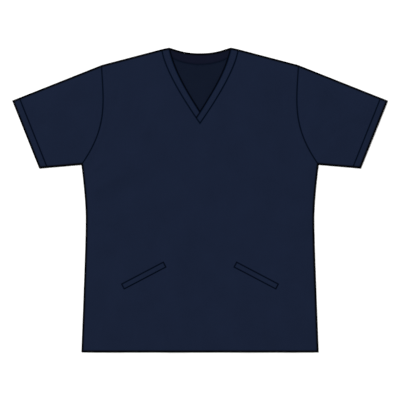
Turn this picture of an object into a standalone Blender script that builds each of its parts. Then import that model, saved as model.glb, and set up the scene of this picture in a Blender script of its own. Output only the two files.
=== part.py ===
"""Short-sleeved V-neck scrub top, laid flat on a surface with its front up.

Lengths are in metres. +X is the right-hand side of the garment as it is seen from above, +Y points
from the hem to the neck and +Z up. The origin is on the surface, under the middle of the garment.
Every piece is a closed wall of cloth, and pieces that are sewn together stand SEAM_GAP apart.

Places on the garment are given as a pattern maker gives them: a half width from the centre front
line, and a drop below the neck point of the shoulder.
"""

import math

import bmesh
import bpy
import numpy as np

# --- Driving dimensions -------------------------------------------------------------------------

LENGTH = 0.730              # neck point of the shoulder to the hem
CLOTH = 0.0012              # wall of a single cloth
BAND = 0.0017               # wall of the folded neckband
WELT = 0.0013               # wall of the folded pocket welt
SEAM_GAP = 0.0003           # between pieces that are sewn together

# Half width and drop of the garment's marked points.
NECK_POINT = (0.0734, 0.0)
BAND_ON_SHOULDER = (0.0916, 0.0038)
SHOULDER_TIP = (0.2359, 0.0417)
UNDERARM = (0.2842, 0.2810)
WAIST = (0.2737, 0.4120)
HEM_CORNER = (0.2842, LENGTH)
SLEEVE_TIP = (0.4500, 0.1268)
SLEEVE_CORNER = (0.3850, 0.2897)
V_POINT = (0.0, 0.1530)
V_SEAM = (0.0, 0.1812)
BACK_NECK = (0.0, 0.0134)
BACK_NECK_SEAM = (0.0, 0.0401)

# Handles of the curves between them, half width and drop.
ARMHOLE_HANDLES = ((0.2313, 0.1279), (0.2190, 0.1901))
SIDE_HANDLES_ABOVE_WAIST = ((0.2775, 0.3351), (0.2736, 0.3801))
SIDE_HANDLES_BELOW_WAIST = ((0.2735, 0.4508), (0.2772, 0.5497))
NECK_FOLD_HANDLES = ((0.0417, 0.0884), (0.0629, 0.0472))
NECK_SEAM_HANDLES = ((0.0429, 0.1199), (0.0849, 0.0505))
BACK_FOLD_HANDLES = ((0.0380, 0.0134), (0.0530, 0.0057))
BACK_SEAM_HANDLES = ((0.0350, 0.0401), (0.0750, 0.0280))

SLEEVE_HEM_TURN = 0.020     # turned-up hem of the sleeve
HEM_TURN_RISE = 0.0004      # how far the doubled cloth of that hem stands up
HEM_STEP = 0.0015           # distance over which it steps up

WELT_LENGTH = 0.1125
WELT_WIDTH = 0.0130
WELT_CENTRE = (0.1345, 0.5457)
WELT_SLOPE = math.radians(27.7)

# How far the upper cloth stands off the lower one, between the edges where they are joined.
LOFT = 0.0018
LOFT_RUN = 0.014            # distance over which the cloth rises from an edge
SETTLING = 0.0008           # how softly a trough comes down on the lower cloth
ARMHOLE_HOLD = 0.45         # share of the loft that an armhole seam takes away
NECK_HOLD = 0.60            # share that the neckband takes away

# Soft folds of the laid cloth: the middle of each, its direction in degrees from +X, its size, how
# high its ridge stands (a trough is negative), and how far its ends bend to the right.
FOLD_COLUMNS = ("x", "y", "heading", "length", "width", "rise", "bend")
FOLDS = (
    # from the underarms towards the chest and the waist
    (-0.200, 0.058, 26, 0.170, 0.040, 0.0025, 0.010),
    (-0.186, 0.014, 20, 0.150, 0.034, -0.0015, 0.008),
    (-0.176, -0.030, 12, 0.150, 0.036, 0.0014, 0.004),
    (-0.210, -0.110, -14, 0.120, 0.034, 0.0011, 0.000),
    (0.204, 0.050, 152, 0.175, 0.042, 0.0023, -0.012),
    (0.194, 0.004, 160, 0.140, 0.034, -0.0013, -0.006),
    (0.182, -0.044, 170, 0.130, 0.036, 0.0011, -0.003),
    (0.214, -0.124, 10, 0.110, 0.036, 0.0014, 0.000),
    # waves that run up from the hem
    (-0.196, -0.250, 80, 0.210, 0.046, 0.0018, 0.008),
    (-0.118, -0.275, 85, 0.200, 0.044, -0.0011, 0.004),
    (-0.046, -0.240, 90, 0.270, 0.052, 0.0021, -0.010),
    (0.032, -0.285, 95, 0.180, 0.044, -0.0011, 0.000),
    (0.092, -0.250, 97, 0.230, 0.046, 0.0018, 0.008),
    (0.205, -0.262, 100, 0.200, 0.044, 0.0018, -0.006),
    # across the chest and the middle
    (-0.118, 0.186, 62, 0.170, 0.040, 0.0016, 0.006),
    (-0.080, 0.120, 66, 0.150, 0.036, -0.0008, 0.004),
    (0.122, 0.178, 117, 0.160, 0.042, 0.0018, -0.008),
    (0.086, 0.108, 112, 0.140, 0.036, -0.0008, -0.004),
    (0.010, 0.080, 84, 0.170, 0.046, 0.0014, 0.004),
    (-0.030, -0.070, 74, 0.200, 0.060, 0.0011, 0.012),
    (0.070, -0.030, 100, 0.190, 0.055, 0.0011, -0.010),
    # over the sleeves
    (-0.322, 0.136, -40, 0.150, 0.036, 0.0023, 0.008),
    (-0.350, 0.176, -32, 0.130, 0.032, -0.0011, 0.005),
    (-0.372, 0.212, -22, 0.130, 0.036, 0.0016, 0.000),
    (-0.285, 0.235, -62, 0.120, 0.034, 0.0011, 0.006),
    (0.318, 0.132, 221, 0.150, 0.036, 0.0021, -0.008),
    (0.350, 0.170, 212, 0.130, 0.032, -0.0011, -0.005),
    (0.380, 0.204, 203, 0.120, 0.036, 0.0016, 0.000),
    (0.284, 0.240, 245, 0.120, 0.034, 0.0014, -0.006),
)

# Mesh density: cells along and across each piece.
ROWS_TO_UNDERARM = 20
ROWS_TO_V_SEAM = 5
ROWS_TO_SHOULDER = 11
COLUMNS_PER_HALF = 20
CROWDING_AT_SEAMS = 0.7     # 0 spaces a panel's columns evenly, 1 crowds them at the side seams
SLEEVE_STATIONS = 10
TURN_ANGLES = (-45, 0, 45)  # points of the round turn at a sleeve's folded edges
WELT_STATIONS = 12
CURVE_SAMPLES = 241

NAVY = (0.0103, 0.0160, 0.0369, 1.0)
NAVY_INSIDE = (0.0085, 0.0130, 0.0290, 1.0)
COTTON_ROUGHNESS = 0.85
SMOOTH_UP_TO = math.radians(50)     # sharper edges than this are shaded as edges


# --- Plan: points and curves seen from above ----------------------------------------------------

def spot(mark):
    """Place on the right half of the garment for a half width and a drop."""
    half_width, drop = mark
    return np.array((half_width, LENGTH / 2 - drop))


def curve(start, handles, end, samples=CURVE_SAMPLES):
    """Cubic curve from one marked point to another, as points at even steps of its length."""
    p0, p1, p2, p3 = (spot(mark) for mark in (start, *handles, end))
    t = np.linspace(0.0, 1.0, samples)[:, None]
    points = ((1 - t) ** 3 * p0 + 3 * (1 - t) ** 2 * t * p1
              + 3 * (1 - t) * t ** 2 * p2 + t ** 3 * p3)
    return along(points, np.linspace(0.0, 1.0, samples))


def along(points, fractions):
    """Points at the given fractions of a polyline's length."""
    steps = np.linalg.norm(np.diff(points, axis=0), axis=1)
    reached = np.concatenate(((0.0,), np.cumsum(steps))) / steps.sum()
    return np.column_stack([np.interp(fractions, reached, points[:, axis]) for axis in (0, 1)])


def offset(points, distance):
    """Polyline moved sideways, to its left for a positive distance."""
    tangents = np.gradient(points, axis=0)
    tangents /= np.linalg.norm(tangents, axis=1)[:, None]
    return points + distance * np.column_stack((-tangents[:, 1], tangents[:, 0]))


def mirrored(points):
    """The same points on the left half of the garment."""
    return points * np.array((-1.0, 1.0))


def between(start, end, fraction):
    """Point, or points, part of the way from one to another."""
    return start + (end - start) * fraction


ARMHOLE = curve(SHOULDER_TIP, ARMHOLE_HANDLES, UNDERARM)
SIDE_SEAM = np.vstack((curve(UNDERARM, SIDE_HANDLES_ABOVE_WAIST, WAIST),
                       curve(WAIST, SIDE_HANDLES_BELOW_WAIST, HEM_CORNER)[1:]))
NECK_FOLD = curve(V_POINT, NECK_FOLD_HANDLES, NECK_POINT)
NECK_SEAM = curve(V_SEAM, NECK_SEAM_HANDLES, BAND_ON_SHOULDER)
BACK_FOLD = curve(BACK_NECK, BACK_FOLD_HANDLES, NECK_POINT)
BACK_SEAM = curve(BACK_NECK_SEAM, BACK_SEAM_HANDLES, BAND_ON_SHOULDER)

SLEEVE_EDGES = ((spot(SHOULDER_TIP), spot(SLEEVE_TIP)), (spot(UNDERARM), spot(SLEEVE_CORNER)))

# The garment's edges, where its upper and lower cloth are joined.
LOWER_EDGE = np.vstack((SIDE_SEAM[::-1], spot(SLEEVE_CORNER)))
UPPER_EDGE = np.array([spot(mark) for mark in (NECK_POINT, BAND_ON_SHOULDER, SHOULDER_TIP, SLEEVE_TIP)])


def lap_share():
    """Share of the neck seam's length at which the band on top, carried on past the V, meets it."""
    carried_on = NECK_FOLD[0] - NECK_FOLD[1]
    away = mirrored(NECK_SEAM) - NECK_FOLD[0]
    aside = np.abs(away[:, 0] * carried_on[1] - away[:, 1] * carried_on[0])
    return aside.argmin() / (CURVE_SAMPLES - 1)


# Shares of their lengths at which pieces that are sewn together have their common points.
EVEN_SHARES = np.linspace(0.0, 1.0, ROWS_TO_SHOULDER + 1)
LAP_SHARE = lap_share()
FRONT_NECK_SHARES = np.append(0.0, np.linspace(LAP_SHARE, 1.0, ROWS_TO_SHOULDER))
FRONT_FOLD_SHARES = np.linspace(0.0, 1.0, ROWS_TO_SHOULDER)
ARMHOLE_SHARES = np.linspace(0.0, 1.0, ROWS_TO_V_SEAM + ROWS_TO_SHOULDER + 1)


# --- Heights: how the cloth lies ----------------------------------------------------------------

def distance(points, polyline):
    """Distance from each point to the nearer of a polyline and its mirror image."""
    on_right = np.column_stack((np.abs(points[:, 0]), points[:, 1]))[:, None]
    start, run = polyline[:-1], np.diff(polyline, axis=0)
    share = ((on_right - start) * run).sum(2) / (run ** 2).sum(1)
    nearest = start + run * np.clip(share, 0.0, 1.0)[..., None]
    return np.linalg.norm(on_right - nearest, axis=2).min(1)


def rise_from(seam, points):
    """0 on a seam, and near 1 once the cloth is clear of it."""
    return 1 - np.exp(-distance(points, seam) / LOFT_RUN)


def folds(points):
    """Height of the soft folds at each point."""
    height = np.zeros(len(points))
    for row in FOLDS:
        fold = dict(zip(FOLD_COLUMNS, row))
        angle = math.radians(fold["heading"])
        away = points - np.array((fold["x"], fold["y"]))
        forward = away @ np.array((math.cos(angle), math.sin(angle))) / (fold["length"] / 2)
        aside = away @ np.array((-math.sin(angle), math.cos(angle))) + fold["bend"] * forward ** 2
        height += fold["rise"] * np.exp(-forward ** 2 - (aside / (fold["width"] / 2)) ** 2)
    return height


def lift(points):
    """How far the upper cloth stands off the lower: nothing at the edges, most between them."""
    held = rise_from(LOWER_EDGE, points) * rise_from(UPPER_EDGE, points)
    held *= 1 - ARMHOLE_HOLD * (1 - rise_from(ARMHOLE, points))
    held *= 1 - NECK_HOLD * (1 - rise_from(NECK_FOLD, points))
    height = LOFT + folds(points)
    return held * (height + np.sqrt(height ** 2 + SETTLING ** 2)) / 2


def upper_side(points):
    """Outer face of the front and of the sleeves' upper sides."""
    return 2 * CLOTH + SEAM_GAP + lift(points)


# --- Building closed walls ----------------------------------------------------------------------

def cloth_material(name, colour):
    """Plain matte cloth."""
    material = bpy.data.materials.new(name)
    material.use_nodes = True
    shader = material.node_tree.nodes["Principled BSDF"]
    shader.inputs["Base Color"].default_value = colour
    shader.inputs["Roughness"].default_value = COTTON_ROUGHNESS
    shader.inputs["Metallic"].default_value = 0.0
    return material


def solid(name, points, faces, colour=NAVY):
    """Object made of one closed mesh with its faces pointing out."""
    mesh = bpy.data.meshes.new(name)
    mesh.from_pydata([tuple(map(float, point)) for point in points], [], faces)
    tidy = bmesh.new()
    tidy.from_mesh(mesh)
    bmesh.ops.recalc_face_normals(tidy, faces=tidy.faces[:])
    tidy.to_mesh(mesh)
    tidy.free()
    piece = bpy.data.objects.new(name, mesh)
    piece.data.materials.append(cloth_material(name, colour))
    bpy.context.collection.objects.link(piece)
    mesh.shade_smooth()
    mesh.set_sharp_from_angle(angle=SMOOTH_UP_TO)


def wall(name, plan, cells, under, over, colour=NAVY):
    """Closed wall over the cells of a plan, from its underside's heights to its upper side's."""
    count = len(plan)
    points = np.vstack((np.column_stack((plan, over)), np.column_stack((plan, under))))
    edges = {(cell[i], cell[(i + 1) % 4]) for cell in cells for i in range(4)}
    rim = [edge for edge in edges if (edge[1], edge[0]) not in edges]
    faces = [tuple(cell) for cell in cells]
    faces += [tuple(count + corner for corner in reversed(cell)) for cell in cells]
    faces += [(b, a, count + a, count + b) for a, b in sorted(rim)]
    solid(name, points, faces, colour)


def strip_cells(rows, columns):
    """Cells of a plan that is a plain grid, numbered row by row."""
    return [(row * columns + column, row * columns + column + 1,
             (row + 1) * columns + column + 1, (row + 1) * columns + column)
            for row in range(rows - 1) for column in range(columns - 1)]


# --- Body: front and back -----------------------------------------------------------------------

def neckline(seam):
    """Edge of a panel beside a band's seam, a gap away from it and closed on the centre line."""
    edge = offset(seam, -SEAM_GAP)
    first_run = seam[1] - seam[0]
    lean = first_run[0] / np.linalg.norm(first_run)
    edge[0] = seam[0] - np.array((0.0, SEAM_GAP / lean))
    return edge


def panel_plan(seam, neck_shares):
    """Plan of a whole panel whose neckline follows a band's seam: its points and its cells.

    Rows run from the centre line, or the neckline, out to the side seam or the armhole. The two
    halves share their centre points up to the neckline.
    """
    neck_edge = neckline(seam)
    hem, neck = np.array((0.0, -LENGTH / 2)), neck_edge[0]
    centre = np.array((hem, neck))
    rows_to_neck = ROWS_TO_UNDERARM + ROWS_TO_V_SEAM
    inner = np.vstack((along(centre, np.linspace(0, 1, rows_to_neck + 1)),
                       along(neck_edge, neck_shares)[1:]))
    outer = np.vstack((along(SIDE_SEAM[::-1], np.linspace(0, 1, ROWS_TO_UNDERARM + 1)),
                       along(ARMHOLE[::-1], ARMHOLE_SHARES)[1:]))
    step = np.linspace(0, 1, COLUMNS_PER_HALF + 1)
    across = between(step, np.sin(step * math.pi / 2), CROWDING_AT_SEAMS)

    plan, number = [], {}
    for row, (near, far) in enumerate(zip(inner, outer)):
        for side in (1, -1):
            for column, share in enumerate(across):
                shared = side == -1 and column == 0 and row <= rows_to_neck
                if not shared:
                    number[side, row, column] = len(plan)
                    plan.append(between(near, far, share) * np.array((side, 1.0)))
                else:
                    number[side, row, column] = number[1, row, column]

    cells = []
    for row in range(len(inner) - 1):
        for column in range(COLUMNS_PER_HALF):
            for side in (1, -1):
                cell = [number[side, row, column], number[side, row, column + 1],
                        number[side, row + 1, column + 1], number[side, row + 1, column]]
                cells.append(cell[::side])
    return np.array(plan), cells


def make_front():
    """Front panel, from the neckband's seam to the hem, standing a little off the back."""
    plan, cells = panel_plan(NECK_SEAM, FRONT_NECK_SHARES)
    over = upper_side(plan)
    wall("front_panel", plan, cells, over - CLOTH, over)


def make_back():
    """Back panel, flat on the surface."""
    plan, cells = panel_plan(BACK_SEAM, EVEN_SHARES)
    level = np.zeros(len(plan))
    wall("back_panel", plan, cells, level, level + CLOTH, NAVY_INSIDE)


# --- Sleeves ------------------------------------------------------------------------------------

def sleeve_ring(line, inset, over):
    """Section of a sleeve's tube along a line from its folded top edge to its underarm.

    It is the outer face for no inset, and the inner face for one wall of inset. It runs out along
    the underside, turns at the underarm, comes back along the upper side and turns at the fold.
    """
    length = np.linalg.norm(np.diff(line, axis=0), axis=1).sum()
    edge_height = over(line[[0, -1]]) - inset
    radius = (edge_height.mean() - inset) / 2
    start = (inset + radius) / length
    beside_edge = LOFT_RUN / length / 2
    run = along(line, np.array((start, start + beside_edge, *ARMHOLE_SHARES[1:-1],
                                1 - start - beside_edge, 1 - start)))
    middle = inset + radius

    def bend(edge, towards):
        """Round turn of the cloth, from the underside up, at one end of the section."""
        out = edge - towards
        return [(*(towards + out * math.cos(angle)), middle + radius * math.sin(angle))
                for angle in np.radians(TURN_ANGLES)]

    fold = along(line, np.array((inset / length,)))[0]
    underarm = along(line, np.array((1 - inset / length,)))[0]
    below = [(x, y, inset) for x, y in run]
    above = [(x, y, z) for (x, y), z in zip(run, over(run) - inset)]
    return below + bend(underarm, run[-1]) + above[::-1] + bend(fold, run[0])[::-1]


def beside_hem(inset):
    """Line across a sleeve, from its folded top edge to its underarm, at an inset from its hem."""
    tip, corner = spot(SLEEVE_TIP), spot(SLEEVE_CORNER)
    hem_run = (corner - tip) / np.linalg.norm(corner - tip)
    inward = np.array((hem_run[1], -hem_run[0]))
    ends = [end + (start - end) * inset / ((start - end) @ inward) for start, end in SLEEVE_EDGES]
    return along(np.array(ends), np.linspace(0, 1, CURVE_SAMPLES))


def make_sleeve(name, side):
    """One sleeve: a flat tube from the armhole to its hem, with the hem turned up."""
    armhole, turn = offset(ARMHOLE, SEAM_GAP), beside_hem(SLEEVE_HEM_TURN)
    to_side = np.array((side, 1.0))
    single = [between(armhole, turn, share) for share in np.linspace(0, 1, SLEEVE_STATIONS)]
    doubled = [beside_hem(SLEEVE_HEM_TURN - HEM_STEP), beside_hem(0.0)]

    points, faces = [], []
    for line, rise in [(line, 0.0) for line in single] + [(line, HEM_TURN_RISE) for line in doubled]:
        for inset in (0.0, CLOTH):
            ring = sleeve_ring(line, inset, lambda plan: upper_side(plan * to_side) + rise)
            points += [(side * x, y, z) for x, y, z in ring]

    size = len(ring)
    rings = [range(start, start + size) for start in range(0, len(points), size)]
    outer, inner = rings[0::2], rings[1::2]
    for layer in (outer, inner):
        for near, far in zip(layer[:-1], layer[1:]):
            faces += ring_faces(near, far)
    faces += ring_faces(outer[0], inner[0]) + ring_faces(outer[-1], inner[-1])
    solid(name, points, faces)


def ring_faces(ring, following):
    """Faces between two rings of points."""
    size = len(ring)
    return [(ring[i], ring[(i + 1) % size], following[(i + 1) % size], following[i])
            for i in range(size)]


# --- Neckbands ----------------------------------------------------------------------------------

# Section of a folded band, from its seam to its fold: share of the width, and how much the upper
# and the lower face draw in there, as shares of the wall.
BAND_SECTION_COLUMNS = ("share", "upper", "lower")
BAND_SECTION = (
    (0.00, 0.20, 0.00),
    (0.10, 0.00, 0.00),
    (0.50, 0.00, 0.00),
    (0.92, 0.10, 0.00),
    (1.00, 0.42, 0.30),
)


def make_band(name, seam_side, fold_side, floor, colour=NAVY):
    """Folded strip between its seam and its fold, on heights that floor gives."""
    section = [dict(zip(BAND_SECTION_COLUMNS, row)) for row in BAND_SECTION]
    plan = np.array([between(seam, fold, place["share"])
                     for seam, fold in zip(seam_side, fold_side) for place in section])
    base = floor(plan)
    upper = np.tile([place["upper"] for place in section], len(seam_side))
    lower = np.tile([place["lower"] for place in section], len(seam_side))
    wall(name, plan, strip_cells(len(seam_side), len(section)),
         base + lower * BAND, base + (1 - upper) * BAND, colour)


def band_floor(plan):
    """Underside of a front band, which lies over the back band."""
    return BAND + SEAM_GAP + lift(plan)


def make_front_bands():
    """The right band laps over and runs to the point of the V; the left band ends against it."""
    left_seam = mirrored(NECK_SEAM)
    lap = along(left_seam, np.array((LAP_SHARE,)))
    beside_v = FRONT_FOLD_SHARES[1] / 2
    fold = along(NECK_FOLD, np.array((0.0, beside_v, *FRONT_FOLD_SHARES[1:])))
    seam = along(NECK_SEAM, FRONT_NECK_SHARES)
    make_band("neckband_front_right", np.vstack((between(lap, left_seam[:1], 0.5), seam)),
              np.vstack((lap, fold)), band_floor)

    left_end = along(left_seam, FRONT_NECK_SHARES[1:])
    left_fold = along(mirrored(NECK_FOLD), FRONT_FOLD_SHARES)
    clear = left_end[1] - left_end[0]
    clear *= SEAM_GAP / np.linalg.norm(clear)
    left_end[0] += clear
    left_fold[0] += clear
    make_band("neckband_front_left", left_end, left_fold, band_floor)


def make_back_band():
    """Back neckband, in one layer with the back, from shoulder to shoulder."""
    half_fold, half_seam = along(BACK_FOLD, EVEN_SHARES), along(BACK_SEAM, EVEN_SHARES)
    fold = np.vstack((mirrored(half_fold)[:0:-1], half_fold))
    seam = np.vstack((mirrored(half_seam)[:0:-1], half_seam))
    make_band("neckband_back", seam, fold, lambda plan: np.zeros(len(plan)), NAVY_INSIDE)


# --- Pocket welts -------------------------------------------------------------------------------

# Section of a welt: places as shares of its width, and how much the upper face draws in there, as
# shares of the wall.
WELT_SECTION_COLUMNS = ("share", "upper")
WELT_SECTION = (
    (-0.50, 0.45),
    (-0.38, 0.00),
    (0.00, 0.00),
    (0.38, 0.00),
    (0.50, 0.45),
)


def make_welt(name, side):
    """Folded welt that lies on the front, its inner end higher than its outer one."""
    section = [dict(zip(WELT_SECTION_COLUMNS, row)) for row in WELT_SECTION]
    inward = np.array((-math.cos(WELT_SLOPE), math.sin(WELT_SLOPE)))
    upward = np.array((inward[1], -inward[0]))
    plan = np.array([spot(WELT_CENTRE) + inward * forward + upward * WELT_WIDTH * place["share"]
                     for forward in np.linspace(-0.5, 0.5, WELT_STATIONS) * WELT_LENGTH
                     for place in section]) * np.array((side, 1.0))
    under = upper_side(plan) + SEAM_GAP
    drawn_in = np.tile([place["upper"] for place in section], WELT_STATIONS)
    wall(name, plan, strip_cells(WELT_STATIONS, len(section)), under,
         under + WELT * (1 - drawn_in))


def main():
    """Clear the scene and make every piece."""
    for existing in list(bpy.data.objects):
        bpy.data.objects.remove(existing, do_unlink=True)
    make_back()
    make_back_band()
    make_front()
    make_front_bands()
    make_sleeve("sleeve_left", -1)
    make_sleeve("sleeve_right", 1)
    make_welt("pocket_welt_left", -1)
    make_welt("pocket_welt_right", 1)


main()
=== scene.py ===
import math

import bpy
import numpy as np
from bpy.props import FloatProperty, FloatVectorProperty, PointerProperty
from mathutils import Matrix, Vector


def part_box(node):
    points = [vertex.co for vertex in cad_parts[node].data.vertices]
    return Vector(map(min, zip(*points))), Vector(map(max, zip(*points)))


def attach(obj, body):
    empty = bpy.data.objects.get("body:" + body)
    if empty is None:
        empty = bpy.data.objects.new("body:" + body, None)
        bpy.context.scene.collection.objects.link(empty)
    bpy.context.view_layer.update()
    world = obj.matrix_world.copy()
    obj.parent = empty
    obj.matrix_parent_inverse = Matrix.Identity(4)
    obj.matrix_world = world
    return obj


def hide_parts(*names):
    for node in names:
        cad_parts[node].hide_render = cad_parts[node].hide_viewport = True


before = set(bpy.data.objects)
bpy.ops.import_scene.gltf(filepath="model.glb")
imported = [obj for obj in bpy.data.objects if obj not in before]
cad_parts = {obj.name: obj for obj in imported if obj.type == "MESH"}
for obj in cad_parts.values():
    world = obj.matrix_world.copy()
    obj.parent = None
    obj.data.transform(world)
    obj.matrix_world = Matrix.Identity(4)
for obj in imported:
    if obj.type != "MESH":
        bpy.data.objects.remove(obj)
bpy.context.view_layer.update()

bl_info = {
    "name": "Scrub Top",
    "version": (1, 0, 0),
    "blender": (4, 5, 0),
    "location": "3D View > Sidebar > Scrub Top",
    "description": "Cloth, seams and stitching of a short-sleeved V-neck scrub top laid out flat",
    "category": "Object",
}

MM = 0.001

# --- The garment's sizes ---
# Lengths are in metres. +X is the right-hand side of the garment as it is seen from above, +Y
# points from the hem to the neck and +Z up. Marked points have a half width from the centre front
# line and a drop below the neck point of the shoulder.

BACK, FRONT, BAND = (np.array(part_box(node))
                     for node in ("back_panel", "front_panel", "neckband_back"))

HEM_Y = BACK[0, 1]
LENGTH = BAND[1, 1] - HEM_Y             # neck point of the shoulder to the hem
SOLID_CLOTH = BACK[1, 2]                # walls of the solids that the cloth replaces
SOLID_BAND = BAND[1, 2]
SOLID_WELT = 1.3 * MM
SOLID_GAP = FRONT[0, 2] - SOLID_CLOTH

NECK_POINT = (0.0734, 0.0)
BAND_ON_SHOULDER = (0.0916, 0.0038)
SHOULDER_TIP = (0.2359, 0.0417)
UNDERARM = (0.2842, 0.2810)
WAIST = (0.2737, 0.4120)
HEM_CORNER = (0.2842, LENGTH)
SLEEVE_TIP = (0.4500, 0.1268)
SLEEVE_CORNER = (0.3850, 0.2897)
V_POINT = (0.0, 0.1530)
V_SEAM = (0.0, 0.1812)
BACK_NECK = (0.0, 0.0134)
BACK_NECK_SEAM = (0.0, 0.0401)

WELT_LENGTH = 0.1125
WELT_WIDTH = 0.0130
WELT_CENTRE = (0.1345, 0.5457)
WELT_SLOPE = math.radians(27.7)

# How far the upper cloth stands off the lower one, between the edges where they are joined.
LOFT = 1.8 * MM
LOFT_RUN = 14 * MM
SETTLING = 0.8 * MM
ARMHOLE_HOLD = 0.45
NECK_HOLD = 0.60
LEAST_LIFT = 0.1 * MM           # of the lower cloth, below which it lies on the surface
HEM_SETTLING = 0.7 * MM         # the front's hem lies closer to the back than its middle does
HEM_SETTLING_RUN = 22 * MM
SLEEVE_HEM_SETTLING = 1.3 * MM  # and the sleeve's open end closer still

# Waviness that any laid cloth has: waves along x and y in radians a metre, where they start, and
# their size.
WAVINESS = ((61, 23, 1.1, 1.0), (-37, 71, 0.0, 1.0), (113, -59, 2.0, 0.8), (83, 149, 0.0, 0.6))
WAVINESS_HEIGHT = 0.05 * MM

# Puckers along each seam: the axis that they run along, their size, where their waves start, and
# how far these are shifted on either side of the garment.
PUCKERS = {
    "side": (1, 0.7, 1.3, 2.0), "shoulder": (0, 0.6, 2.2, 0.0), "armhole": (1, 1.0, 0.4, 2.0),
    "neck": (1, 0.7, 0.9, 2.0), "hem": (0, 0.6, 3.1, 0.0), "sleeve hem": (1, 1.0, 1.9, 1.0),
    "sleeve edge": (0, 0.6, 2.7, 1.0), "band seam": (1, 0.8, 4.1, 1.0),
    "band fold": (1, 0.5, 0.6, -1.0), "back band": (0, 0.5, 5.0, 0.0),
}
PUCKERS_START = 2 * MM          # from a seam

# Waves along a seam: the shares of long and short ones, how much shorter these are and where they
# start, and how much, over how many waves and from where both swell and fade.
LONG_WAVE, SHORT_WAVE, SHORTENING, SHORT_START = 0.65, 0.35, 0.61, 2.3
SWELL, SWELL_LENGTH, SWELL_START = 0.4, 4.3, 1.7

# Rounding of the edges at seams and folds, and how far the cloth falls there.
EDGE_ROUND, EDGE_FALL, EDGE_THINNING = 1.4 * MM, 0.8 * MM, 0.15 * MM
ARMHOLE_ROUND, ARMHOLE_FALL = 1.5 * MM, 0.95 * MM
ALLOWANCE_START = 2.5 * MM      # from the armhole's seam, over which turned-in cloth begins to lift
HEM_TURN_END = 1.5 * MM         # over which the turned-up hem's doubled cloth ends
HEM_SHARE = 0.5                 # of an allowance's height, by which the turned-up hem lifts
NECK_ROUND, NECK_FALL = 1.0 * MM, 0.5 * MM
BACK_NECK_FALL = 0.3            # of the cloth's thickness
HEM_FOLD_ROUND = 0.7 * MM
SLEEVE_EDGE_ROUND = 1.3 * MM
SLEEVE_GROOVE = 0.4 * MM        # how far the armhole seam draws the underside up
SLEEVE_TURN_END = 1.2 * MM
HEM_STITCH_GROOVE, HEM_STITCH_GROOVE_WIDTH = 0.3 * MM, 1.1 * MM
HEM_STITCH_INSIDE = 1.2 * MM    # from the edge of the turned-up cloth to its stitches
BAND_FOLD_ROUND = 0.9 * MM
BAND_SEAM_ROUND, BAND_SEAM_FALL = 1.2 * MM, 0.9 * MM
BAND_SEAM_TUCK = 0.4 * MM       # how far its underside goes down at the seam
BACK_BAND_FALL = 0.5 * MM
BACK_BAND_WAVINESS = 0.5        # share of the waviness that it has
SHOULDER_JOIN = 1.8 * MM        # over which the front and back bands bend to meet
JOIN_TOP, JOIN_BOTTOM = 1.3 * MM, 1.0 * MM
BACK_JOIN_TOP, BACK_JOIN_BOTTOM = 0.3 * MM, 0.5 * MM
LAP_RISE, LAP_RUN = 0.45 * MM, 16 * MM      # how much higher the band on top lies at the V
BAND_CREASES = 0.6              # share of the small creases that the stiffer bands take
WELT_ROUND, WELT_SIDE_FALL, WELT_END_FALL = 1.0 * MM, 1.1 * MM, 0.9 * MM
WELT_SUNK = 0.15 * MM
WELT_LEAST = 0.1 * MM           # that its face stands over the front
WELT_CROWN, WELT_CROWN_PITCH = 0.12 * MM, 31 * MM
WELT_END_STITCH, WELT_STITCH_MARGIN = 1.6 * MM, 1.2 * MM
WELT_STITCH_DENT, WELT_DENT_WIDTH = 0.2 * MM, 0.7 * MM

# Shade in the seams: full out to these distances, and how deep it is.
SEAM_LINE, SEAM_SHADE = 1.7 * MM, 0.89
HEM_STITCH_SHADE = 0.93
FOLD_LINE = 3.0 * MM            # along the neck's fold
EDGE_LINE = 5.4 * MM            # along turned edges
UNDER_FOLD_LINE, UNDER_FOLD_SHADE = 1.5 * MM, 0.936
BACK_NECK_LINE, BACK_NECK_SHADE = 2.6 * MM, 0.414
WELT_LINE, WELT_SHADE = 1.65 * MM, 0.926
WELT_STITCH_LINE, WELT_STITCH_SHADE = 0.8 * MM, 0.45
CLEAR = 0.1                     # distance from the outline of what isn't near it
STRIPE_POWER = 6                # how suddenly a stripe of shade ends

# Steps of a row of points away from a seam, which leave room for its rounded edge.
SEAM_STEPS = np.array((0.0, 0.3, 0.78, 1.55, 2.8, 4.8, 7.9)) * MM
LEAST_WIDTH = 2.4 * SEAM_STEPS[-1]          # for which a band's columns are crowded
BEFORE_SLEEVE_TURN = np.array((1.3, 0.5)) * MM
PAST_SLEEVE_TURN = np.array((0.15, 0.55, 1.0, 1.35, 1.8, 2.5, 3.6)) * MM
BEFORE_SLEEVE_HEM = np.array((0.8, 0.35, 0.1, 0.0)) * MM
SLEEVE_HEM_START = 1.6 * MM
WELT_STEPS = np.array((0.0, 0.12, 0.35, 0.75, 1.3, 2.2)) * MM
FRONT_ROWS = (128, 24, 50)      # hem to underarm, to the point of the V's seam, and to the shoulder
BACK_ROWS = (96, 48, 16)
PANEL_COLUMNS = 64
ROWS_OF_SETTLING = 12           # over which the columns draw in towards the neckline
SLEEVE_ROWS, SLEEVE_COLUMNS = 52, 50
HEM_TURN_ROWS = 8
TURN_ANGLES = np.radians((-67, -45, -22, 0, 22, 45, 67))
BAND_ROWS, BAND_COLUMNS = 84, 9
LAP_ROWS = 7
WELT_ROWS, WELT_COLUMNS = 44, 6
CURVE_SAMPLES = 241
COARSER = 4                     # of the samples, one in so many is enough to measure distances
CHUNK = 8000                    # points measured at a time

STITCH_RINGS = ((-1.0, 0.25), (-0.82, 0.72), (-0.4, 1.0), (0.0, 1.05), (0.4, 1.0), (0.82, 0.72),
                (1.0, 0.25))    # place along half of the stitch, and share of the thread's radius
STITCH_SIDES = 6
STITCH_COVER = 0.82             # share of each stitch's length that shows on this side
HEM_STITCHES_REACH = np.array((0.009, 0.991))   # shares of the sleeve's width
STITCH_SUNK = 0.35              # of its radius, in the cloth

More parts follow.
